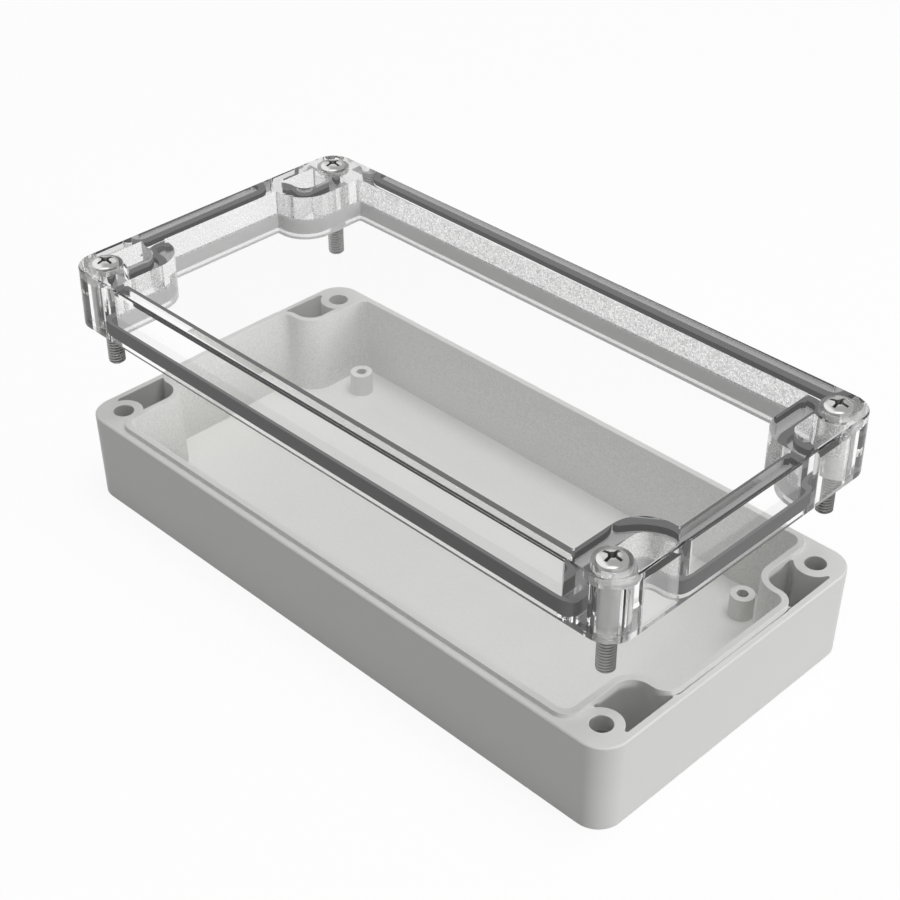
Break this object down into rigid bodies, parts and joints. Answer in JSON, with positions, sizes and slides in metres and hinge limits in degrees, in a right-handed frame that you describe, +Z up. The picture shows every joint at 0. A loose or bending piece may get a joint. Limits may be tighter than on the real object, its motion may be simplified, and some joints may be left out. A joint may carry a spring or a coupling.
{
  "type": "plastic enclosure",
  "caption": "Sealed rectangular box for electronics: pale grey base, clear lid with gasket held by corner screws into inserts, shown lifted.",
  "frame": {"origin": "centre of the base's underside", "axes": "+X along the length, +Y across the width, +Z up from the underside towards the lid"},
  "size_m": [0.16, 0.08, 0.062],
  "materials": {
    "base": "fine satin moulded ABS, pale grey",
    "lid": "clear polished polycarbonate",
    "gasket": "dark grey foam rubber",
    "screws": "bright stainless steel",
    "inserts": "turned brass"
  },
  "bodies": {
    "base": {"base": "base", "insert_1": "inserts", "insert_2": "inserts", "insert_3": "inserts", "insert_4": "inserts"},
    "lid": {"lid": "lid", "gasket": "gasket"},
    "lid_screw_1": {"lid_screw_1": "screws"},
    "lid_screw_2": {"lid_screw_2": "screws"},
    "lid_screw_3": {"lid_screw_3": "screws"},
    "lid_screw_4": {"lid_screw_4": "screws"}
  },
  "joints": [
    {"name": "lid_lift", "type": "slide", "parent": "base", "child": "lid", "axis": [0, 0, 1], "range_m": [-0.02435, 0]},
    {"name": "lid_screw_1_turn", "type": "hinge", "parent": "lid", "child": "lid_screw_1", "pos_m": [-0.07345, -0.0336, 0.0577], "axis": [0, 0, 1], "continuous": true},
    {"name": "lid_screw_2_turn", "type": "hinge", "parent": "lid", "child": "lid_screw_2", "pos_m": [0.07345, -0.0336, 0.0577], "axis": [0, 0, 1], "continuous": true},
    {"name": "lid_screw_3_turn", "type": "hinge", "parent": "lid", "child": "lid_screw_3", "pos_m": [0.07345, 0.0336, 0.0577], "axis": [0, 0, 1], "continuous": true},
    {"name": "lid_screw_4_turn", "type": "hinge", "parent": "lid", "child": "lid_screw_4", "pos_m": [-0.07345, 0.0336, 0.0577], "axis": [0, 0, 1], "continuous": true}
  ]
}
